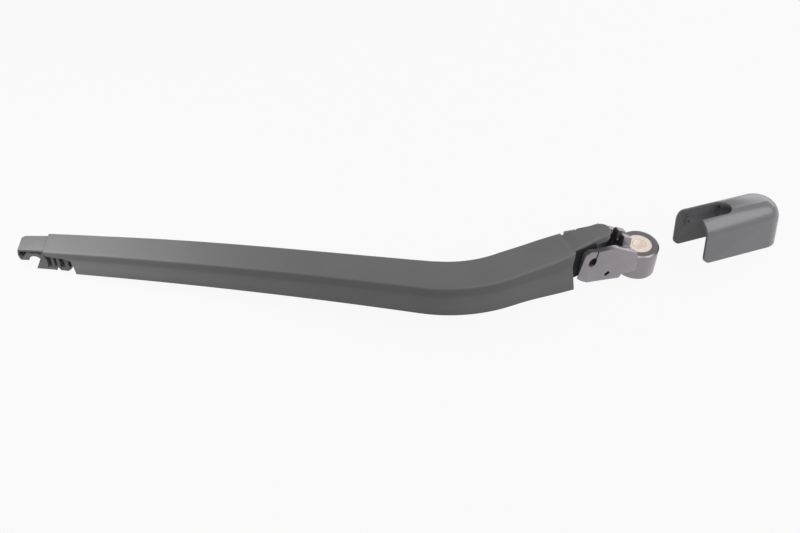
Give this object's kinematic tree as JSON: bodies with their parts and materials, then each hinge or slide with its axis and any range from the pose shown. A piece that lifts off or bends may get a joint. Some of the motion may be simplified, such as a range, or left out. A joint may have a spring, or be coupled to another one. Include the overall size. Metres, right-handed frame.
{
  "type": "windscreen wiper arm",
  "caption": "Cranked moulded windscreen wiper arm with a hooked blade clip, a sprung hinge on a cast spindle head, and its nut cap taken off.",
  "frame": {"origin": "centre of the spindle bore in the plane of the boss's underside", "axes": "+Z along the spindle, away from the glass; the arm runs from the head towards -X and cranks to +Y"},
  "size_m": [0.3938, 0.1629, 0.0446],
  "materials": {
    "arm_plastic": "fine grained matt",
    "head_metal": "smooth satin die casting",
    "insert_pale": "satin",
    "pin_steel": "satin",
    "link_steel": "dull",
    "spring_steel": "satin",
    "cap_plastic": "semi-gloss"
  },
  "bodies": {
    "head": {"head_casting": "head_metal", "spindle_bush": "insert_pale", "hinge_pin": "pin_steel", "spring_hook_pin": "pin_steel", "nut_cap": "cap_plastic"},
    "arm": {"arm_shell": "arm_plastic", "anchor_pin": "pin_steel"},
    "link": {"spring_link": "link_steel", "tension_spring": "spring_steel"}
  },
  "joints": [
    {"name": "arm_lift", "type": "hinge", "parent": "head", "child": "arm", "pos_m": [-0.0392, 0, 0.0232], "axis": [0, 1, 0], "range_deg": [0, 60], "stiffness_Nm_per_rad": 1.2, "springref_deg": -28.65, "deforming": ["tension_spring"]},
    {"name": "link_swing", "type": "hinge", "parent": "head", "child": "link", "pos_m": [-0.0277, 0, 0.0116], "axis": [0, 1, 0], "range_deg": [0, 48.5]}
  ],
  "couplings": [
    {"joint": "link_swing", "follows": "arm_lift", "ratio": 0.8}
  ]
}
